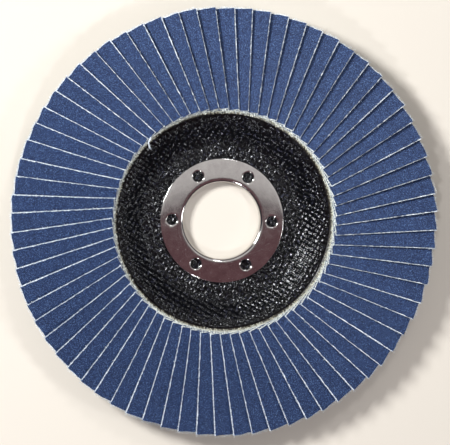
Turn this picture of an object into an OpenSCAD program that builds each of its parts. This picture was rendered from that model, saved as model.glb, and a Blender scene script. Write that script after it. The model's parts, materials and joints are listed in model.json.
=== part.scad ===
// Radial flap disc for an angle grinder: coated-cloth flaps bedded on a dished glass-fibre
// plate, which a stamped steel ring clamps together and lines at the bore.
// Millimetres. The origin is on the bore axis, in the plane that the hub's back rests on,
// and +Z points out of the abrasive face.

/* [Flaps] */
// Diameter over the flaps' outer corners
disc_d = 125; // [112:1:180]
// Diameter inside the flaps' free corners
flap_inner_d = 65.4; // [54:0.1:80]
// Number of flaps, each turned by one pitch
flap_count = 72; // [54:1:90]
// Width of a flap from its glued edge to its free edge
flap_w = 13.4; // [10:0.1:17]
// Thickness of the backing cloth
cloth_t = 0.35; // [0.25:0.01:0.5]
// Thickness of the abrasive coat
grain_t = 0.25; // [0.15:0.01:0.4]
// Room between one flap and the next at their inner ends
flap_gap = 0.04; // [0.03:0.01:0.2]
// Distance of a free edge's line from the bore axis
edge_offset = 5.6; // [2:0.1:9]
// Angle of a flap's cut ends off square
end_skew = 3.5; // [0:0.5:12]
// Bare strip of cloth along the free edge, where the coat is chipped off
bare_edge = 0.15; // [0.1:0.05:1]
// Angle of the first flap
flap_phase = 2.7; // [0:0.1:5]

/* [Backing plate] */
// Thickness of one ply of glass cloth
ply_t = 0.6; // [0.5:0.05:0.8]
// Depth of the dished centre
dish_depth = 3.4; // [2:0.1:5]
// Flat of the hub that shows around the ring
hub_land = 3.5; // [1:0.1:5]
// Flat of the plate inside the flaps' free corners
bond_land = 1.9; // [1.5:0.1:3]
// How far the flaps overhang the plate's rim
flap_overhang = 6; // [3:0.5:10]

/* [Bore ring] */
// Diameter of the bore
bore_d = 22.23; // [20:0.01:27]
// Thickness of the sheet steel
sheet_t = 0.6; // [0.5:0.05:0.8]
// Width of the flange from the bore wall to its rim
flange_w = 6.9; // [5.7:0.1:8.5]
// Radius of the bend between the flange and the collar
bend_r = 0.9; // [0.8:0.05:1.2]
// Height of the collar's flared end
flare_h = 0.45; // [0.3:0.05:0.6]
// Number of holes pierced in the flange
hole_count = 6; // [4:1:8]
// Diameter of a pierced hole
hole_d = 2.9; // [2:0.1:3.5]
// Depth of the burr that a pierced hole presses into the plate
burr_h = 0.35; // [0.2:0.05:0.4]
// Wall of that burr
burr_w = 0.3; // [0.2:0.05:0.5]
// Room between the ring and the plies
ring_fit = 0.02; // [0.01:0.01:0.1]

/* [Adhesive and label] */
// Thickness of adhesive under a glued edge
glue_t = 0.12; // [0.1:0.01:0.3]
// Height of the adhesive bed
bed_h = 0.9; // [0.5:0.1:1.5]
// Room between a flap and the adhesive around it
bed_fit = 0.02; // [0.01:0.01:0.05]
// Distance of the bed from the ends of the plate's flat
bed_inset = 0.8; // [0.5:0.1:2]
// Outer diameter of the label
label_d = 80; // [66:1:90]
// Thickness of the label
label_t = 0.15; // [0.1:0.01:0.3]
// Distance of the label from the collar's flared end
label_margin = 1.5; // [1:0.1:3]

/* [Hidden] */
$fn = 180;
// Steps along the dish's rise, and along each rounded corner of the ring
dish_steps = 12;
bend_steps = 6;
// Radius of the flange's upper rim
rim_round = 0.25;
// Angle of the first pierced hole
first_hole = -1.4;
ply_count = 4;
flap_groups = 24;
// How far a cutter runs past what it cuts
reach = 5;

disc_r = disc_d / 2;
inner_r = flap_inner_d / 2;
flap_t = cloth_t + grain_t;
pitch = 360 / flap_count;

bore_r = bore_d / 2;
collar_r = bore_r + sheet_t;
flare_r = collar_r + flare_h;
ring_r = bore_r + flange_w;
hole_r = hole_d / 2;
hole_circle_r = (bore_r + ring_r) / 2;

plate_r = disc_r - flap_overhang;
hub_r = ring_r + hub_land;
dish_r = inner_r - bond_land;
hub_top = label_t + ply_count * ply_t;
rim_top = hub_top + dish_depth;
ring_top = hub_top + sheet_t;

// A flap leans so far that it clears the next one along its whole length
inner_x = sqrt(inner_r * inner_r - edge_offset * edge_offset);
glued_x = inner_x - flap_w * tan(end_skew);
glued_y = flap_w - edge_offset;
drop_per_pitch = glued_x * sin(pitch) - glued_y * (1 - cos(pitch));
tilt = asin((flap_t + flap_gap) / drop_per_pitch);
low_edge_y = edge_offset + flap_t * sin(tilt);
outer_x = sqrt(disc_r * disc_r - low_edge_y * low_edge_y);
edge_z = rim_top + glue_t + flap_w * sin(tilt) + flap_t * cos(tilt);

function two_digits(n) = str(n < 10 ? "0" : "", n);
function arc(x, y, r, from, to) =
  [for (i = [0 : bend_steps]) let (a = from + (to - from) * i / bend_steps) [x + r * cos(a), y + r * sin(a)]];

// The dish: flat hub, a smooth rise from hub_r to dish_r, flat rim
dish_line = [
  for (i = [0 : dish_steps])
    [hub_r + (dish_r - hub_r) * i / dish_steps, dish_depth * (1 - cos(180 * i / dish_steps)) / 2]
];

// A layer that follows the dish, between two heights above the hub's resting plane.
// An outer radius short of the plate's rim stops it on the flat.
module dished_layer(r_in, r_out, low, high) {
  line = concat([[r_in, 0]], dish_line, [[r_out, dish_depth]]);
  last = len(line) - 1;
  rotate_extrude()
    polygon(concat(
      [for (p = line) [p.x, p.y + low]],
      [for (i = [last : -1 : 0]) [line[i].x, line[i].y + high]]
    ));
}

module at_holes()
  for (i = [0 : hole_count - 1])
    rotate([0, 0, first_hole + i * 360 / hole_count])
      translate([hole_circle_r, 0, 0])
        children();

module ring_section()
  polygon(concat(
    [[bore_r + flare_h, label_t], [bore_r, label_t + flare_h]],
    arc(bore_r + bend_r, ring_top - bend_r, bend_r, 180, 90),
    arc(ring_r - rim_round, ring_top - rim_round, rim_round, 90, 0),
    [[ring_r, hub_top]],
    arc(bore_r + bend_r, ring_top - bend_r, bend_r - sheet_t, 90, 180),
    [[collar_r, label_t + flare_h], [flare_r, label_t]]
  ));

// The steel ring: flange, rounded bend, collar with a flared end, and pierced holes with burrs
module bore_ring()
  color("silver")
    difference() {
      union() {
        rotate_extrude() ring_section();
        at_holes()
          translate([0, 0, hub_top - burr_h])
            cylinder(r = hole_r + burr_w, h = burr_h + sheet_t / 2);
      }
      at_holes() {
        translate([0, 0, hub_top - burr_h - reach]) cylinder(r = hole_r, h = burr_h + sheet_t + 2 * reach);
        translate([0, 0, ring_top - burr_w]) cylinder(r1 = hole_r, r2 = hole_r + burr_w, h = burr_w);
        translate([0, 0, ring_top]) cylinder(r = hole_r + burr_w, h = reach);
      }
    }

// What the ring takes out of the plies: its collar, its bend and the grooves of its burrs
module ring_seat() {
  rotate_extrude()
    polygon([
      [0, label_t - reach],
      [flare_r + ring_fit, label_t - reach],
      [flare_r + ring_fit, label_t],
      [collar_r + ring_fit, label_t + flare_h],
      [collar_r + ring_fit, ring_top - bend_r],
      [bore_r + bend_r, hub_top],
      [bore_r + bend_r, hub_top + reach],
      [0, hub_top + reach]
    ]);
  at_holes()
    translate([0, 0, hub_top - burr_h - ring_fit])
      difference() {
        cylinder(r = hole_r + burr_w + ring_fit, h = burr_h + 2 * ring_fit);
        translate([0, 0, -reach]) cylinder(r = hole_r - ring_fit, h = 3 * reach);
      }
}

// One ply, counted from the grinder's side
module ply(n)
  difference() {
    dished_layer(bore_r, plate_r, label_t + n * ply_t, label_t + (n + 1) * ply_t);
    ring_seat();
  }

module plate_front_ply() color([0.06, 0.06, 0.07]) ply(3);
module plate_core_ply_1() color([0.55, 0.52, 0.4]) ply(2);
module plate_core_ply_2() color([0.6, 0.57, 0.45]) ply(1);
module plate_rear_ply() color([0.1, 0.1, 0.11]) ply(0);

module back_label()
  color([0.85, 0.85, 0.82])
    dished_layer(flare_r + label_margin, label_d / 2, 0, label_t);

// Draws its children in the plane of flap k: x out from the bore axis, y from the free edge
// towards the glued edge, and z up from the flap's top face. Flap k + 1 lies under flap k.
module in_flap(k)
  rotate([0, 0, flap_phase - k * pitch])
    translate([0, -edge_offset, edge_z])
      rotate([-tilt, 0, 0])
        children();

// A layer of flap k from y_from to the glued edge, between two heights in the flap's plane
module flap_layer(k, y_from, low, high)
  in_flap(k)
    translate([0, 0, low])
      linear_extrude(height = high - low)
        polygon([
          [inner_x - y_from * tan(end_skew), y_from],
          [outer_x - y_from * tan(end_skew), y_from],
          [outer_x - flap_w * tan(end_skew), flap_w],
          [inner_x - flap_w * tan(end_skew), flap_w]
        ]);

// The flaps of group g, which share the whole circle evenly
function flaps_of(g) =
  [floor((g - 1) * flap_count / flap_groups) : floor(g * flap_count / flap_groups) - 1];

module flap_cloth(g)
  color([0.86, 0.83, 0.74])
    for (k = flaps_of(g)) flap_layer(k, 0, -flap_t, -grain_t);

module flap_grain(g)
  color([0.15, 0.2, 0.35])
    for (k = flaps_of(g)) flap_layer(k, bare_edge, -grain_t, 0);

// The resin under the flaps, which their glued edges are pressed into
module adhesive_bed()
  color([0.2, 0.13, 0.07])
    difference() {
      translate([0, 0, rim_top])
        rotate_extrude()
          translate([dish_r + bed_inset, 0])
            square([plate_r - dish_r - 2 * bed_inset, bed_h]);
      for (k = [0 : flap_count - 1])
        in_flap(k)
          translate([dish_r - reach, -reach, -flap_t - bed_fit])
            cube([disc_r - dish_r + reach, flap_w + bed_fit + reach, reach]);
    }

bore_ring();
plate_front_ply();
plate_core_ply_1();
plate_core_ply_2();
plate_rear_ply();
adhesive_bed();
back_label();
for (g = [1 : flap_groups]) {
  flap_cloth(g);
  flap_grain(g);
}
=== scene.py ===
import json
import math
import random

import bmesh
import bpy
from mathutils import Matrix, Vector, noise


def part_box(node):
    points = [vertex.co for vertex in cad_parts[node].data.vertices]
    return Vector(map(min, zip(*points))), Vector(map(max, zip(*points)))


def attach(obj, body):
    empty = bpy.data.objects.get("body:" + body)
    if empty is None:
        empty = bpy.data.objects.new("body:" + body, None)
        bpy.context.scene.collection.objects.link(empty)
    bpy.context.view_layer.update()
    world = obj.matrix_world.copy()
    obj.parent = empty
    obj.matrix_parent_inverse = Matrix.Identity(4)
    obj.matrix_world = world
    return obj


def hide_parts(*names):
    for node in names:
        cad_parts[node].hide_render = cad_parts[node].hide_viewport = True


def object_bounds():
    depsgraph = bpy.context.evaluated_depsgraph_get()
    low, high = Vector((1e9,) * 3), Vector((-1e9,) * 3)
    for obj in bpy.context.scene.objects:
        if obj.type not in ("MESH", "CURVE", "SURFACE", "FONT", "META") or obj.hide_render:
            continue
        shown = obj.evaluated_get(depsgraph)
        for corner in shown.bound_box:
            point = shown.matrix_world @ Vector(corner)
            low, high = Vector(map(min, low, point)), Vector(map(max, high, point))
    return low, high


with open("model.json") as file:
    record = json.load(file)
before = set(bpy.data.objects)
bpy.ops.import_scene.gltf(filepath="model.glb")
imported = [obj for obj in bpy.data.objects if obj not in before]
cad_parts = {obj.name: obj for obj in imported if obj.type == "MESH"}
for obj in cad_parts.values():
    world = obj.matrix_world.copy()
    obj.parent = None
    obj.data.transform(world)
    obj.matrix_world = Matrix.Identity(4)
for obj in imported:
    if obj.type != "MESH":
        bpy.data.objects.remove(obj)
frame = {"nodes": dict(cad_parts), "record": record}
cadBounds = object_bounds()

mm = 0.001
scene = bpy.context.scene

# measures that every piece shares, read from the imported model
mounts = {m["name"]: m for m in frame["record"]["mounts"]}
boreR = mounts["bore"]["dims"]["r_mm"] * mm
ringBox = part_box("bore_ring")
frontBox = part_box("plate_front_ply")
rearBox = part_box("plate_rear_ply")
ringR = ringBox[1].x
ringTop = ringBox[1].z
plateR = frontBox[1].x
rimTop = frontBox[1].z
edgeZ = cadBounds[1].z
discR = 62.5 * mm  # nominal, to the outer corners of the flaps


def smoothBetween(low, high, value):
    # 0 below low, 1 above high, and a soft step from one to the other
    t = min(1.0, max(0.0, (value - low) / (high - low)))
    return t * t * (3 - 2 * t)


def arcPoints(x, z, r, start, end, steps):
    # points of a corner's arc in a section, angles in degrees
    angles = [math.radians(start + (end - start) * i / steps) for i in range(steps + 1)]
    return [(x + r * math.cos(a), z + r * math.sin(a)) for a in angles]


def spinSection(points, steps, closed=True):
    # a section in the XZ plane, spun once round the bore axis
    bm = bmesh.new()
    verts = [bm.verts.new((x, 0, z)) for x, z in points]
    pairs = list(zip(verts, verts[1:] + verts[:1])) if closed else list(zip(verts, verts[1:]))
    edges = [bm.edges.new(pair) for pair in pairs]
    bmesh.ops.spin(bm, geom=verts + edges, cent=(0, 0, 0), axis=(0, 0, 1), angle=2 * math.pi,
                   steps=steps, use_merge=True, use_duplicate=False)
    bmesh.ops.remove_doubles(bm, verts=bm.verts, dist=1e-7)
    bmesh.ops.recalc_face_normals(bm, faces=bm.faces)
    return bm


def makePiece(name, bm, material, stands=()):
    mesh = bpy.data.meshes.new(name)
    bm.to_mesh(mesh)
    bm.free()
    mesh.materials.append(material)
    mesh.polygons.foreach_set("use_smooth", [True] * len(mesh.polygons))
    piece = bpy.data.objects.new(name, mesh)
    scene.collection.objects.link(piece)
    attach(piece, "root")
    if stands:
        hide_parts(*stands)
    return piece


def joinInto(target, bm, place=None):
    # adds one bmesh to another, put in its place first
    if place is not None:
        bmesh.ops.transform(bm, matrix=place, verts=bm.verts)
    mesh = bpy.data.meshes.new("join")
    bm.to_mesh(mesh)
    bm.free()
    target.from_mesh(mesh)
    bpy.data.meshes.remove(mesh)


def newMaterial(name):
    material = bpy.data.materials.new(name)
    material.use_nodes = True
    nodes = material.node_tree.nodes
    return material, nodes, material.node_tree.links, nodes["Principled BSDF"]


def addNode(nodes, kind, **values):
    node = nodes.new(kind)
    for key, value in values.items():
        setattr(node, key, value)
    return node


def millimetres(nodes, links, turn=0.0, stretch=(1, 1, 1)):
    # Object coordinates in millimetres, along axes turned about the bore axis
    coords = nodes.new("ShaderNodeTexCoord")
    mapping = addNode(nodes, "ShaderNodeMapping", vector_type="TEXTURE")
    mapping.inputs["Scale"].default_value = [0.001 / s for s in stretch]
    mapping.inputs["Rotation"].default_value = (0, 0, math.radians(turn))
    links.new(coords.outputs["Object"], mapping.inputs["Vector"])
    return mapping.outputs["Vector"]


def addNoise(nodes, links, vector, scale, detail=2.0, roughness=0.5):
    node = nodes.new("ShaderNodeTexNoise")
    node.inputs["Scale"].default_value = scale
    node.inputs["Detail"].default_value = detail
    node.inputs["Roughness"].default_value = roughness
    links.new(vector, node.inputs["Vector"])
    return node.outputs["Fac"]


def addRamp(nodes, links, value, stops):
    ramp = nodes.new("ShaderNodeValToRGB")
    elements = ramp.color_ramp.elements
    while len(elements) < len(stops):
        elements.new(0.5)
    for element, (place, colour) in zip(elements, stops):
        element.position = place
        element.color = (*colour, 1)
    links.new(value, ramp.inputs["Fac"])
    return ramp.outputs["Color"]


def addMath(nodes, links, operation, *values):
    node = addNode(nodes, "ShaderNodeMath", operation=operation)
    for socket, value in zip(node.inputs, values):
        if isinstance(value, (int, float)):
            socket.default_value = value
        else:
            links.new(value, socket)
    return node.outputs["Value"]


def mixColour(nodes, links, factor, first, second, blend="MIX"):
    node = addNode(nodes, "ShaderNodeMix", data_type="RGBA", blend_type=blend)
    for key, value in (("Factor", factor), ("A", first), ("B", second)):
        socket = node.inputs[key]
        if isinstance(value, (int, float)):
            socket.default_value = value
        elif isinstance(value, tuple):
            socket.default_value = (*value, 1)
        else:
            links.new(value, socket)
    return node.outputs["Result"]


def addBump(nodes, links, height, strength, distance, under=None):
    node = nodes.new("ShaderNodeBump")
    node.inputs["Strength"].default_value = strength
    node.inputs["Distance"].default_value = distance
    links.new(height, node.inputs["Height"])
    if under is not None:
        links.new(under, node.inputs["Normal"])
    return node.outputs["Normal"]


def makeSteel():
    material, nodes, links, shader = newMaterial("platedSteel")
    place = millimetres(nodes, links)
    cloud = addNoise(nodes, links, place, 0.35, 4, 0.6)
    fine = addNoise(nodes, links, place, 9.0, 2)
    specks = addNoise(nodes, links, place, 2.6, 3, 0.7)
    colour = addRamp(nodes, links, cloud, [(0.3, (0.50, 0.47, 0.46)), (0.7, (0.62, 0.60, 0.58))])
    dust = addRamp(nodes, links, specks, [(0.66, (0, 0, 0)), (0.74, (1, 1, 1))])
    dusted = addMath(nodes, links, "MULTIPLY", dust, 0.35)
    colour = mixColour(nodes, links, dusted, colour, (0.75, 0.72, 0.70))
    links.new(colour, shader.inputs["Base Color"])
    rough = addMath(nodes, links, "MULTIPLY_ADD", cloud, 0.09, 0.06)
    rough = addMath(nodes, links, "MULTIPLY_ADD", dust, 0.3, rough)
    links.new(rough, shader.inputs["Roughness"])
    shader.inputs["Metallic"].default_value = 1.0
    links.new(addBump(nodes, links, fine, 0.10, 0.00001), shader.inputs["Normal"])
    return material


def makeLaminate(name, rough):
    # black resin over a plain weave of glass rovings; each roving's fibres show as fine lines along it
    material, nodes, links, shader = newMaterial(name)
    place = millimetres(nodes, links)
    along = millimetres(nodes, links, weave["turn"], (0.4, 1.1, 1))
    across = millimetres(nodes, links, weave["turn"], (1.1, 0.4, 1))
    split = nodes.new("ShaderNodeSeparateXYZ")
    links.new(millimetres(nodes, links, weave["turn"]), split.inputs["Vector"])
    cells = []
    for axis in (0, 1):
        steps = addMath(nodes, links, "DIVIDE", split.outputs[axis], weave["pitch"] / mm)
        cells.append(addMath(nodes, links, "FLOOR", steps))
    parity = addMath(nodes, links, "PINGPONG", addMath(nodes, links, "ADD", *cells), 1.0)
    lengthways = addNoise(nodes, links, along, 1.6, 2)
    crossways = addNoise(nodes, links, across, 1.6, 2)
    lines = mixColour(nodes, links, parity, lengthways, crossways)
    skin = addNoise(nodes, links, place, 1.2, 1, 0.5)
    colour = addRamp(nodes, links, lines, [(0.35, (0.0008, 0.0008, 0.0012)), (0.60, (0.002, 0.002, 0.003)),
                                           (0.70, (0.022, 0.023, 0.036))])
    links.new(colour, shader.inputs["Base Color"])
    shader.inputs["Roughness"].default_value = rough
    shader.inputs["Specular IOR Level"].default_value = 0.28
    bumps = addBump(nodes, links, lines, 1.0, 0.00010)
    links.new(addBump(nodes, links, skin, 1.0, 0.00008, bumps), shader.inputs["Normal"])
    return material


def makeCore():
    material, nodes, links, shader = newMaterial("laminateEdge")
    layers = millimetres(nodes, links, 0, (0.6, 0.6, 9))
    fibres = addNoise(nodes, links, layers, 1.5, 3)
    colour = addRamp(nodes, links, fibres, [(0.35, (0.05, 0.045, 0.03)), (0.7, (0.28, 0.25, 0.17))])
    links.new(colour, shader.inputs["Base Color"])
    shader.inputs["Roughness"].default_value = 0.45
    links.new(addBump(nodes, links, fibres, 0.4, 0.00008), shader.inputs["Normal"])
    return material


def makeAdhesive():
    material, nodes, links, shader = newMaterial("epoxy")
    place = millimetres(nodes, links)
    cloud = addNoise(nodes, links, place, 0.8, 3)
    colour = addRamp(nodes, links, cloud, [(0.3, (0.006, 0.005, 0.004)), (0.7, (0.020, 0.014, 0.008))])
    links.new(colour, shader.inputs["Base Color"])
    shader.inputs["Roughness"].default_value = 0.32
    lumps = addNoise(nodes, links, place, 2.2, 2)
    links.new(addBump(nodes, links, lumps, 0.3, 0.0001), shader.inputs["Normal"])
    return material


def makeGrain():
    # fine mineral grain under a coloured size coat
    material, nodes, links, shader = newMaterial("blueGrain")
    place = millimetres(nodes, links)
    grit = nodes.new("ShaderNodeTexVoronoi")
    grit.inputs["Scale"].default_value = 4.2
    grit.inputs["Randomness"].default_value = 1.0
    links.new(place, grit.inputs["Vector"])
    speck = addNoise(nodes, links, place, 3.8, 2, 0.8)
    patch = addNoise(nodes, links, place, 0.16, 3, 0.6)
    colour = addRamp(nodes, links, speck, [(0.36, (0.0020, 0.0053, 0.025)), (0.50, (0.0105, 0.028, 0.093)),
                                           (0.60, (0.033, 0.068, 0.180)), (0.68, (0.15, 0.24, 0.42))])
    shade = addRamp(nodes, links, patch, [(0.3, (0.86, 0.86, 0.86)), (0.7, (1.0, 1.0, 1.0))])
    links.new(mixColour(nodes, links, 1.0, colour, shade, "MULTIPLY"), shader.inputs["Base Color"])
    shader.inputs["Roughness"].default_value = 0.72
    shader.inputs["Specular IOR Level"].default_value = 0.35
    bumps = addBump(nodes, links, grit.outputs["Distance"], 0.6, 0.00010)
    links.new(addBump(nodes, links, speck, 0.5, 0.00010, bumps), shader.inputs["Normal"])
    return material


def makeCloth(name, resinAndShade):
    # woven cloth, pale along its free edges; the stack of inner ends is yellowed with resin and grows
    # darker and browner towards its foot, and the flap cloth's cut sides take painted shade
    material, nodes, links, shader = newMaterial(name)
    place = millimetres(nodes, links)
    yarn = addNoise(nodes, links, place, 2.6, 3, 0.7)
    colour = addRamp(nodes, links, yarn, [(0.38, (0.24, 0.30, 0.40)), (0.56, (0.92, 0.97, 1.0))])
    if resinAndShade:
        split = nodes.new("ShaderNodeSeparateXYZ")
        links.new(place, split.inputs["Vector"])
        blots = addNoise(nodes, links, place, 1.8, 3, 0.7)
        height = addMath(nodes, links, "MULTIPLY_ADD", blots, 2.8, split.outputs["Z"])
        height = addMath(nodes, links, "SUBTRACT", height, 7.8)
        stained = addRamp(nodes, links, addMath(nodes, links, "DIVIDE", height, 3.0),
                          [(0.12, (0.12, 0.09, 0.05)), (0.28, (0.78, 0.68, 0.46)),
                           (0.46, (1.0, 0.92, 0.72)), (0.74, (1.0, 0.97, 0.87))])
        length = addNode(nodes, "ShaderNodeVectorMath", operation="LENGTH")
        links.new(place, length.inputs[0])
        inner = addMath(nodes, links, "LESS_THAN", length.outputs["Value"], 34.0)
        toned = mixColour(nodes, links, inner, (1.0, 1.0, 1.0), stained)
        clean = mixColour(nodes, links, 1.0, colour, toned, "MULTIPLY")
        # painted shade: the cut-side faces marked on the flap cloth are mixed towards grey-blue, standing
        # in for the shadow beside each free edge
        sideShade = addNode(nodes, "ShaderNodeAttribute", attribute_name="sideShade")
        colour = mixColour(nodes, links, sideShade.outputs["Fac"], clean, (0.22, 0.25, 0.30))
    links.new(colour, shader.inputs["Base Color"])
    shader.inputs["Roughness"].default_value = 0.85
    shader.inputs["Sheen Weight"].default_value = 0.25
    links.new(addBump(nodes, links, yarn, 0.5, 0.0001), shader.inputs["Normal"])
    return material


def makeLabel():
    # plain coated paper with one printed ring
    material, nodes, links, shader = newMaterial("labelPaper")
    place = millimetres(nodes, links)
    flat = addNode(nodes, "ShaderNodeVectorMath", operation="MULTIPLY")
    flat.inputs[1].default_value = (1, 1, 0)
    links.new(place, flat.inputs[0])
    length = addNode(nodes, "ShaderNodeVectorMath", operation="LENGTH")
    links.new(flat.outputs["Vector"], length.inputs[0])
    share = addMath(nodes, links, "DIVIDE", length.outputs["Value"], 40.0)
    paper, ink = (0.72, 0.72, 0.70), (0.03, 0.10, 0.28)
    ramp = addRamp(nodes, links, share, [(0.0, paper), (0.88, ink), (0.95, paper)])
    ramp.node.color_ramp.interpolation = "CONSTANT"
    fibres = addNoise(nodes, links, place, 3.0, 4)
    tone = addRamp(nodes, links, fibres, [(0.3, (0.93, 0.93, 0.92)), (0.7, (1, 1, 1))])
    links.new(mixColour(nodes, links, 1.0, ramp, tone, "MULTIPLY"), shader.inputs["Base Color"])
    shader.inputs["Roughness"].default_value = 0.45
    links.new(addBump(nodes, links, fibres, 0.15, 0.00004), shader.inputs["Normal"])
    return material


cameraPlace = {"lens": 557.0, "position": (-0.2544, 0.0982, 2.0), "turn": (-2.8285, -7.2775, 0.16)}


def makeCamera():
    data = bpy.data.cameras.new("camera")
    data.lens = cameraPlace["lens"]
    data.sensor_width = 36
    data.clip_start, data.clip_end = 0.05, 10
    camera = bpy.data.objects.new("camera", data)
    camera.location = cameraPlace["position"]
    camera.rotation_euler = [math.radians(a) for a in cameraPlace["turn"]]
    scene.collection.objects.link(camera)
    scene.camera = camera


# the ring mirrors the ceiling card in its upper half and the dusky card in its lower half
lights = {
    "key": {"position": (-0.50, 0.27, 0.50), "target": (0, 0, 0), "size": 0.17, "power": 8.2,
            "colour": (0.95, 0.98, 1.0)},
    "fill": {"position": (0.75, -0.15, 0.75), "target": (0, 0, 0), "size": 0.2, "power": 2.5,
             "colour": (0.93, 0.97, 1.0)},
    "front": {"position": (-0.15, -0.60, 0.70), "target": (0, 0, 0), "size": 0.08, "power": 1.9,
              "colour": (0.90, 0.94, 1.0)},
    "back": {"position": (0.18, 0.52, 0.72), "target": (0, 0, 0), "size": 0.10, "power": 1.05,
             "colour": (0.95, 0.98, 1.0)},
    "ceiling": {"position": (0.032, 0.144, 0.25), "target": (0.032, 0.1441, 0), "size": 0.30, "power": 0.20,
                "colour": (1.0, 0.98, 0.96)},
    "dusk": {"position": (0.032, -0.160, 0.25), "target": (0.032, -0.1599, 0), "size": 0.30, "power": 0.031,
             "colour": (1.0, 0.30, 0.31)},
}


def aim(item, position, target=(0, 0, 0)):
    item.location = position
    item.rotation_euler = (Vector(target) - Vector(position)).to_track_quat("-Z", "Y").to_euler()


def makeLights():
    for name, spec in lights.items():
        data = bpy.data.lights.new(name, "AREA")
        data.shape = "SQUARE"
        data.size = spec["size"]
        data.energy = spec["power"]
        data.color = spec["colour"]
        lamp = bpy.data.objects.new(name, data)
        aim(lamp, spec["position"], spec["target"])
        lamp.visible_camera = False
        scene.collection.objects.link(lamp)
    world = bpy.data.worlds.new("studio")
    world.use_nodes = True
    background = world.node_tree.nodes["Background"]
    background.inputs["Color"].default_value = (0.045, 0.045, 0.055, 1)
    background.inputs["Strength"].default_value = 1.0
    scene.world = world
    scene.view_settings.view_transform = "Standard"


def makeFloor():
    bm = bmesh.new()
    bmesh.ops.create_grid(bm, x_segments=1, y_segments=1, size=3.0)
    bmesh.ops.translate(bm, vec=(0, 0, cadBounds[0].z - 0.00002), verts=bm.verts)
    mesh = bpy.data.meshes.new("floor")
    bm.to_mesh(mesh)
    bm.free()
    floor = bpy.data.objects.new("floor", mesh)
    material, nodes, links, shader = newMaterial("paleFloor")
    shader.inputs["Base Color"].default_value = (0.66, 0.60, 0.52, 1)
    shader.inputs["Roughness"].default_value = 0.7
    mesh.materials.append(material)
    scene.collection.objects.link(floor)


ring = {"sheet": 0.6 * mm, "bend": 0.9 * mm, "flare": 0.45 * mm, "rimRound": 0.20 * mm, "crown": 0.012 * mm,
        "holes": 6, "holeR": 1.45 * mm, "holeRound": 0.40 * mm, "firstHole": -1.4, "steps": 192}


def makeRing():
    hubTop = ringTop - ring["sheet"]
    low = ringBox[0].z
    bend, sheet, flare, rim = ring["bend"], ring["sheet"], ring["flare"], ring["rimRound"]
    inner, outer = boreR + bend, ringR - rim
    crowned = []
    for i in range(1, 10):
        t = i / 10
        crowned.append((inner + (outer - inner) * t, ringTop - ring["crown"] * (2 * t - 1) ** 2))
    dip = ring["crown"]
    section = [(boreR + flare, low), (boreR + 0.25 * flare, low + 0.45 * flare), (boreR, low + flare)]
    section += arcPoints(inner, ringTop - dip - bend, bend, 180, 90, 10)
    section += crowned
    section += arcPoints(outer, ringTop - dip - rim, rim, 90, 0, 6)
    section += arcPoints(outer, hubTop + 0.12 * mm, 0.12 * mm + rim, 0, -60, 3)[1:]
    section = [p for p in section if p[1] >= hubTop or p[0] < inner]
    section.append((outer, hubTop))
    section += arcPoints(inner, ringTop - bend, bend - sheet, 90, 180, 5)
    section += [(boreR + sheet, low + flare), (boreR + sheet + flare, low)]
    bm = spinSection(section, ring["steps"])
    piece = makePiece("boreRing", bm, materials["steel"], ["bore_ring"])
    cutter = bmesh.new()
    r, lip = ring["holeR"], ring["holeRound"]
    pin = [(0, hubTop - 1 * mm), (r, hubTop - 1 * mm)] + arcPoints(r + lip, ringTop - lip, lip, 180, 90, 6)
    pin += [(r + lip, ringTop + 1 * mm), (0, ringTop + 1 * mm)]
    for i in range(ring["holes"]):
        turn = math.radians(ring["firstHole"] + 360 * i / ring["holes"])
        place = Matrix.Rotation(turn, 4, "Z") @ Matrix.Translation(((boreR + ringR) / 2, 0, 0))
        joinInto(cutter, spinSection(pin, 40, closed=False), place)
    mesh = bpy.data.meshes.new("pins")
    cutter.to_mesh(mesh)
    cutter.free()
    pins = bpy.data.objects.new("pins", mesh)
    scene.collection.objects.link(pins)
    pierce = piece.modifiers.new("pierce", "BOOLEAN")
    pierce.object = pins
    pierce.operation = "DIFFERENCE"
    pierce.solver = "EXACT"
    depsgraph = bpy.context.evaluated_depsgraph_get()
    pierced = bpy.data.meshes.new_from_object(piece.evaluated_get(depsgraph))
    piece.modifiers.clear()
    piece.data = pierced
    bpy.data.objects.remove(pins)
    pierced.set_sharp_from_angle(angle=math.radians(40))
    weighted = piece.modifiers.new("weightedNormals", "WEIGHTED_NORMAL")
    weighted.keep_sharp = True
    print("ring:", len(pierced.polygons), "faces")


weave = {"pitch": 1.35 * mm, "turn": 60, "height": 0.30 * mm, "long": 0.74 * mm, "wide": 0.50 * mm,
         "stray": 0.12 * mm, "spread": 0.45, "resin": 0.032 * mm}
plate = {"hubR": 21.5 * mm, "dishR": 30.8 * mm, "depth": 3.4 * mm, "ply": 0.6 * mm, "fit": 0.02 * mm,
         "steps": 840, "backSteps": 1080, "rowStep": 0.185 * mm, "backRowStep": 0.3 * mm,
         "holesShow": (13.1 * mm, 16.1 * mm), "dishShows": (17.4 * mm, 32.4 * mm),
         "reliefFades": (29.9 * mm, 30.9 * mm), "labelR": 40 * mm}


def dishHeight(r):
    # height of a ply above its hub, at a distance from the bore axis
    t = min(1.0, max(0.0, (r - plate["hubR"]) / (plate["dishR"] - plate["hubR"])))
    return plate["depth"] * (1 - math.cos(math.pi * t)) / 2


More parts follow.
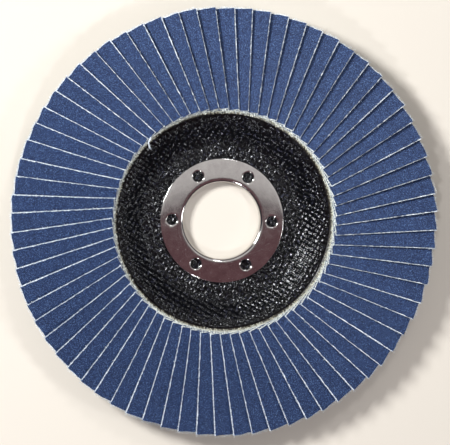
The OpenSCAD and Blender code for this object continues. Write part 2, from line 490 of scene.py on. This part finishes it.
def weaveHeight(x, y):
    # a plain weave drowned in resin: in each cell one roving lies on top, along or across by turns
    a = math.radians(weave["turn"])
    x += weave["stray"] * noise.noise((x * 260, y * 260, 3.1))
    y += weave["stray"] * noise.noise((x * 260, y * 260, 7.7))
    u, v = x * math.cos(a) + y * math.sin(a), -x * math.sin(a) + y * math.cos(a)
    i, j = round(u / weave["pitch"]), round(v / weave["pitch"])
    best = 0.0
    for ci in (i - 1, i, i + 1):
        for cj in (j - 1, j, j + 1):
            du = u - ci * weave["pitch"] - weave["stray"] * noise.noise((ci * 1.7, cj * 2.3, 5.5))
            dv = v - cj * weave["pitch"] - weave["stray"] * noise.noise((ci * 2.9, cj * 1.3, 8.5))
            if (ci + cj) % 2:
                du, dv = dv, du
            across, along = 1 - (dv / weave["wide"]) ** 2, 1 - (du / weave["long"]) ** 4
            if across > 0 and along > 0:
                tall = weave["height"] * (0.75 + weave["spread"] * noise.noise((ci * 3.7, cj * 4.3, 0.4)))
                best = max(best, tall * math.sqrt(across * along))
    wave = noise.noise((x * 900, y * 900, 1.3)) + 0.5 * noise.noise((x * 2100, y * 2100, 4.3))
    return min(0.0, best - weave["height"] + weave["resin"] * wave)


def plySection(low, high, topRadii, bottomRadii):
    # section of a dished ply, with a point at each radius of its upper and its lower face
    lowLine = [(r, low + dishHeight(r)) for r in bottomRadii]
    highLine = [(r, high + dishHeight(r)) for r in topRadii]
    return lowLine + highLine[::-1]


def radii(start, end, step):
    # evenly spaced radii from start to end, about a step apart
    count = max(1, round((end - start) / step))
    return [start + (end - start) * i / count for i in range(count + 1)]


def makeFrontPly():
    # its relief shows round the ring and through the ring's holes, and ends under the flaps
    high = rimTop - plate["depth"]
    low = high - plate["ply"]
    inner = boreR + ring["sheet"] + plate["fit"]
    holesIn, holesOut = plate["holesShow"]
    dishIn, dishOut = plate["dishShows"]
    coarse = [inner, plate["hubR"]] + radii(plate["hubR"], plate["dishR"], 1.8 * mm)[1:] + [plateR]
    shown = [inner, inner + ring["bend"]] + radii(holesIn, holesOut, plate["rowStep"])
    shown += radii(dishIn, dishOut, plate["rowStep"]) + [dishOut + 5.6 * mm, plateR]
    bm = spinSection(plySection(low, high, shown, coarse), plate["steps"])
    for vert in bm.verts:
        r = math.hypot(vert.co.x, vert.co.y)
        isTop = vert.co.z > high + dishHeight(r) - 0.05 * mm
        if isTop and holesIn + 0.1 * mm < r < dishOut + 0.1 * mm:
            fromHolesEdge = (holesOut - holesIn) / 2 - abs(r - (holesIn + holesOut) / 2)
            share = smoothBetween(0.2 * mm, 0.7 * mm, fromHolesEdge)
            share += smoothBetween(dishIn + 0.2 * mm, dishIn + 0.9 * mm, r)
            share *= 1 - 0.85 * smoothBetween(*plate["reliefFades"], r)
            vert.co.z += share * weaveHeight(vert.co.x, vert.co.y)
    makePiece("plateFrontPly", bm, materials["laminate"], ["plate_front_ply"])
    print("front ply done")


def makeRearPly():
    # its relief shows between the label and the rim
    low = rearBox[0].z
    high = low + plate["ply"]
    inner = boreR + ring["sheet"] + ring["flare"] + plate["fit"]
    labelR = plate["labelR"]
    coarse = [inner, plate["hubR"]] + radii(plate["hubR"], plate["dishR"], 0.9 * mm)[1:] + [plateR]
    shown = coarse[:-1] + radii(labelR - 0.6 * mm, plateR, plate["backRowStep"])
    bm = spinSection(plySection(low, high, coarse, shown), plate["backSteps"])
    for vert in bm.verts:
        r = math.hypot(vert.co.x, vert.co.y)
        isUnder = vert.co.z < low + dishHeight(r) + 0.05 * mm
        if isUnder and r > labelR - 0.5 * mm:
            share = smoothBetween(labelR + 0.2 * mm, labelR + 0.8 * mm, r)
            share *= 1 - smoothBetween(plateR - 0.7 * mm, plateR - 0.1 * mm, r)
            vert.co.z -= share * weaveHeight(vert.co.x, vert.co.y)
    makePiece("plateRearPly", bm, materials["laminateBack"], ["plate_rear_ply"])
    print("rear ply done")


flap = {"count": 72, "groups": 24, "seed": 11, "innerR": 32.7 * mm, "width": 13.4 * mm, "cloth": 0.35 * mm,
        "grain": 0.25 * mm, "gap": 0.04 * mm, "offset": 5.6 * mm, "skew": 3.5, "phase": 2.7,
        "turnSpread": 0.22, "endSpread": 0.12 * mm, "sunk": 0.38 * mm, "bare": 0.18 * mm,
        "ragged": 0.075 * mm, "chipped": (0.15 * mm, -0.16 * mm), "wear": 0.34 * mm,
        "curl": (0.16 * mm, 0.40 * mm), "segments": (74, 9)}


def flapMeasures():
    # the tilt is the one that lays each flap on the next, a gap above its grain
    thick = flap["cloth"] + flap["grain"]
    slant = math.tan(math.radians(flap["skew"]))
    pitch = 2 * math.pi / flap["count"]
    innerX = math.sqrt(flap["innerR"] ** 2 - flap["offset"] ** 2)
    gluedX = innerX - flap["width"] * slant
    gluedY = flap["width"] - flap["offset"]
    drop = gluedX * math.sin(pitch) - gluedY * (1 - math.cos(pitch))
    tilt = math.asin((thick + flap["gap"]) / drop)
    outerX = math.sqrt(discR ** 2 - (flap["offset"] + thick * math.sin(tilt)) ** 2)
    return {"slant": slant, "pitch": pitch, "innerX": innerX, "outerX": outerX, "tilt": tilt}


def flapPlace(k, chance, size):
    # from a flap's own plane (x outwards, y from the free edge to the glued one) to its place on the disc
    turn = math.radians(flap["phase"] + flap["turnSpread"] * chance.uniform(-1, 1)) - k * size["pitch"]
    return (Matrix.Rotation(turn, 4, "Z") @ Matrix.Translation((0, -flap["offset"], edgeZ - flap["sunk"]))
            @ Matrix.Rotation(-size["tilt"], 4, "X"))


def roughEdge(s, seed, scale):
    # a value around 0 that wanders along an edge, s in metres
    return scale * (0.6 * noise.noise((s * 1400, seed, 0.5)) + 0.6 * noise.noise((s * 4200, seed, 5.5)))


def flapLayer(k, size, top, thickness, grainSide, look):
    # s runs from a flap's inner end to its outer one, t from its free edge to its glued one
    bm = bmesh.new()
    bmesh.ops.create_grid(bm, x_segments=flap["segments"][0], y_segments=flap["segments"][1], size=0.5)
    for vert in bm.verts:
        s, t = vert.co.x + 0.5, vert.co.y + 0.5
        across = flap["width"] * t ** 1.5
        start, end = size["innerX"] + look["inset"], size["outerX"] + look["longer"]
        x = start + (end - start) * s
        if grainSide:
            bare = look["bare"] * (0.75 + 0.5 * s) + roughEdge(x, k * 3.7, flap["ragged"] * 3)
            across += max(0.04 * mm, bare) * (1 - t)
            if s in (0, 1):
                x += flap["chipped"][int(s)] + roughEdge(across, k * 5.1 + s, flap["ragged"] * 1.5)
        else:
            across += roughEdge(x, k * 2.3 + 40, flap["ragged"]) * (1 - t) ** 3
            if s in (0, 1):
                x += roughEdge(across, k * 1.9 + s + 70, flap["ragged"])
        lift = look["curl"] * (1 - t) ** 3 * math.sin(math.pi * (0.15 + 0.7 * s))
        if s == 1:
            worn = 0.5 + noise.noise((across * 330, k * 4.3, 2.2)) + 0.8 * math.exp(-across / (0.35 * mm))
            x -= flap["wear"] * max(0.0, worn)
        vert.co = (x - across * size["slant"], across, top + lift)
    down = bmesh.ops.extrude_face_region(bm, geom=bm.faces[:])
    moved = [g for g in down["geom"] if isinstance(g, bmesh.types.BMVert)]
    bmesh.ops.translate(bm, vec=(0, 0, -thickness), verts=moved)
    bmesh.ops.recalc_face_normals(bm, faces=bm.faces)
    return bm


fray = {"yarnPitch": 0.42 * mm, "yarnLength": 0.08 * mm, "yarnR": 0.055 * mm, "fibreLength": 0.55 * mm,
        "fibreR": 0.024 * mm, "endPitch": 0.26 * mm, "bends": (0.5, 0.9, 1.5, 2.2), "shapeR": 0.12}


def fibreShapes():
    # a few bent fibres of length 1, each lying along +X from its root at the origin
    shapes = []
    for bend in fray["bends"]:
        bm = bmesh.new()
        bmesh.ops.create_circle(bm, segments=4, radius=fray["shapeR"])
        bmesh.ops.rotate(bm, matrix=Matrix.Rotation(math.pi / 2, 3, "Y"), verts=bm.verts)
        r = 1 / bend
        bmesh.ops.spin(bm, geom=bm.verts[:] + bm.edges[:], cent=(0, r, 0), axis=(0, 0, 1), angle=bend,
                       steps=3, use_merge=False)
        bmesh.ops.holes_fill(bm, edges=bm.edges, sides=4)
        bmesh.ops.recalc_face_normals(bm, faces=bm.faces)
        mesh = bpy.data.meshes.new("fibre")
        bm.to_mesh(mesh)
        bm.free()
        shapes.append(mesh)
    return shapes


def addFibre(target, shape, place, length, radius):
    before = len(target.verts)
    target.from_mesh(shape)
    target.verts.ensure_lookup_table()
    grow = place @ Matrix.Diagonal((length, length, radius / fray["shapeR"], 1))
    for vert in target.verts[before:]:
        vert.co = grow @ vert.co


def frayFlap(target, k, size, place, shapes, chance, look):
    # yarn ends and loose fibres along the free edge and the two cut ends
    z = -flap["grain"] - 0.5 * flap["cloth"]
    fringe = bmesh.new()
    length = size["outerX"] - size["innerX"] + look["longer"]
    for i in range(int(length / fray["yarnPitch"])):
        x = size["innerX"] + (i + chance.uniform(0.2, 0.8)) * fray["yarnPitch"]
        spot = Matrix.Translation((x, 0.06 * mm, z + chance.uniform(0.05, 0.13) * mm))
        turn = Matrix.Rotation(math.radians(-90 + chance.gauss(0, 22)), 4, "Z")
        addFibre(fringe, chance.choice(shapes[:2]), place @ spot @ turn,
                 fray["yarnLength"] * chance.uniform(0.7, 1.5), fray["yarnR"] * chance.uniform(0.7, 1.2))
        if chance.random() < 0.22:
            turn = Matrix.Rotation(math.radians(-90 + chance.gauss(0, 50)), 4, "Z")
            tip = Matrix.Rotation(math.radians(chance.uniform(-25, 25)), 4, "Y")
            addFibre(fringe, chance.choice(shapes), place @ spot @ turn @ tip,
                     fray["fibreLength"] * chance.uniform(0.3, 0.8), fray["fibreR"])
    innerEnd, outerEnd = size["innerX"] + look["inset"], size["outerX"] + look["longer"]
    for end, way, depth in ((innerEnd, 180, 1.0), (outerEnd, 0, 0.5)):
        for i in range(int(flap["width"] / fray["endPitch"])):
            y = (i + chance.uniform(0.1, 0.9)) * fray["endPitch"]
            spot = Matrix.Translation((end - y * size["slant"], y, z + chance.uniform(-0.1, 0.15) * mm))
            turn = Matrix.Rotation(math.radians(way + chance.gauss(0, 38)), 4, "Z")
            tip = Matrix.Rotation(math.radians(chance.uniform(-30, 25)), 4, "Y")
            shape = chance.choice(shapes)
            reach = fray["fibreLength"] * depth * chance.uniform(0.5, 1.4)
            thick = fray["fibreR"] * chance.uniform(1.0, 2.2)
            addFibre(fringe, shape, place @ spot @ turn @ tip, reach, thick)
    joinInto(target, fringe)


def paintSideShade(mesh):
    # the cut sides of the cloth are marked for painted shade, a grey that stands in for the shadowed gap
    # beside each free edge, and less of it at the inner ends; its upper face and its fibres are left clean
    sideShade = mesh.attributes.new("sideShade", "FLOAT", "FACE")
    for face in mesh.polygons:
        isSide = abs(face.normal.z) < 0.7
        isFibre = face.area < 0.03e-6
        if isSide and not isFibre:
            atInnerEnd = face.center.xy.length < 33.4 * mm
            sideShade.data[face.index].value = 0.45 if atInnerEnd else 1.0


# points and radii in millimetres
thread = {"points": ((-21.4, 24.5, 9.0), (-21.6, 24.0, 9.2), (-22.1, 22.9, 8.9), (-21.9, 21.9, 8.4),
                     (-21.4, 20.9, 7.8)),
          "radii": (0.05, 0.24, 0.15, 0.13, 0.16), "tufts": 14, "tuftLength": 0.6 * mm, "tuftR": 0.03 * mm,
          "seed": 5}


def makeThread():
    # one yarn pulled out of a flap's inner end, which hangs over the plate
    path = [Vector(p) * mm for p in thread["points"]]
    bm = bmesh.new()
    rings = []
    for i, point in enumerate(path):
        ahead = path[min(i + 1, len(path) - 1)] - path[max(i - 1, 0)]
        lay = Matrix.Translation(point) @ ahead.to_track_quat("Z", "Y").to_matrix().to_4x4()
        made = bmesh.ops.create_circle(bm, segments=6, radius=thread["radii"][i] * mm, matrix=lay)
        rings.append(made["verts"])
    bm.edges.index_update()
    rims = [sorted({e for v in verts for e in v.link_edges}, key=lambda e: e.index) for verts in rings]
    for low, high in zip(rims, rims[1:]):
        bmesh.ops.bridge_loops(bm, edges=low + high)
    bmesh.ops.holes_fill(bm, edges=bm.edges, sides=6)
    bmesh.ops.subdivide_edges(bm, edges=bm.edges, cuts=1, smooth=1.0)
    chance = random.Random(thread["seed"])
    shapes = fibreShapes()
    for i in range(thread["tufts"]):
        spot = Matrix.Translation(path[1 + i % 4])
        turn = Matrix.Rotation(chance.uniform(0, 6.3), 4, "Z")
        tip = Matrix.Rotation(chance.uniform(-0.6, 0.6), 4, "Y")
        shape = chance.choice(shapes)
        length = thread["tuftLength"] * chance.uniform(0.5, 1.2)
        addFibre(bm, shape, spot @ turn @ tip, length, thread["tuftR"])
    for mesh in shapes:
        bpy.data.meshes.remove(mesh)
    bmesh.ops.recalc_face_normals(bm, faces=bm.faces)
    makePiece("looseThread", bm, materials["yarn"])
    print("loose thread done")


def makeFlaps():
    size = flapMeasures()
    chance = random.Random(flap["seed"])
    shapes = fibreShapes()
    share = flap["count"] // flap["groups"]
    for g in range(1, flap["groups"] + 1):
        cloth, grain = bmesh.new(), bmesh.new()
        for k in range((g - 1) * share, g * share):
            place = flapPlace(k, chance, size)
            look = {"bare": flap["bare"] * chance.uniform(0.75, 1.25),
                    "inset": flap["endSpread"] * chance.uniform(-1, 1),
                    "longer": -flap["endSpread"] * abs(chance.gauss(0, 1)),
                    "curl": chance.uniform(*flap["curl"])}
            joinInto(cloth, flapLayer(k, size, -flap["grain"], flap["cloth"], False, look), place)
            joinInto(grain, flapLayer(k, size, 0, flap["grain"], True, look), place)
            frayFlap(cloth, k, size, place, shapes, chance, look)
        number = f"{g:02d}"
        for name, bm, material, slotName, node in (
                ("flapCloth", cloth, materials["cloth"], "flap_cloth", "flap_cloth_"),
                ("flapGrain", grain, materials["grain"], "abrasive_grain", "flap_grain_")):
            piece = makePiece(f"{name}{number}", bm, material, [node + number])
            piece.data.set_sharp_from_angle(angle=math.radians(50))
            # the flap cloth's cut sides are marked for painted shade
            if name == "flapCloth":
                paintSideShade(piece.data)
    for mesh in shapes:
        bpy.data.meshes.remove(mesh)
    print("flaps done")


# the bead's section in millimetres, outwards from its inner foot, above its base
fillet = {"points": ((31.0, 0), (31.3, 0.10), (31.7, 0.30), (32.3, 0.45), (33.0, 0.45), (33.0, 0)),
          "steps": 480, "rise": 0.12 * mm, "wander": 0.006}


def makeAdhesiveFillet():
    base = rimTop - 0.05 * mm
    bm = spinSection([(x * mm, base + z * mm) for x, z in fillet["points"]], fillet["steps"])
    for vert in bm.verts:
        if vert.co.z > base + 0.05 * mm:
            wander = noise.noise((vert.co.x * 350, vert.co.y * 350, 2.0))
            vert.co.z += fillet["rise"] * wander
            vert.co.x *= 1 + fillet["wander"] * wander
            vert.co.y *= 1 + fillet["wander"] * wander
    makePiece("adhesiveFillet", bm, materials["adhesive"])
    print("adhesive fillet done")


def dressFrame():
    # CAD nodes whose shape is right keep it, and get their finish
    for node, key in (("plate_core_ply_1", "core"), ("plate_core_ply_2", "core"),
                      ("adhesive_bed", "adhesive"), ("back_label", "label")):
        piece = frame["nodes"][node]
        piece.data.materials.clear()
        piece.data.materials.append(materials[key])
    print("core plies, adhesive bed and label dressed")


makeCamera()
makeLights()
makeFloor()
print("camera, lights and floor done")
materials = {
    "steel": makeSteel(),
    "laminate": makeLaminate("blackLaminate", 0.12),
    "laminateBack": makeLaminate("blackLaminateBack", 0.20),
    "core": makeCore(),
    "adhesive": makeAdhesive(),
    "grain": makeGrain(),
    "cloth": makeCloth("backingCloth", True),
    "yarn": makeCloth("looseYarn", False),
    "label": makeLabel(),
}
print("materials done")
makeRing()
makeFrontPly()
makeRearPly()
makeFlaps()
makeThread()
makeAdhesiveFillet()
dressFrame()
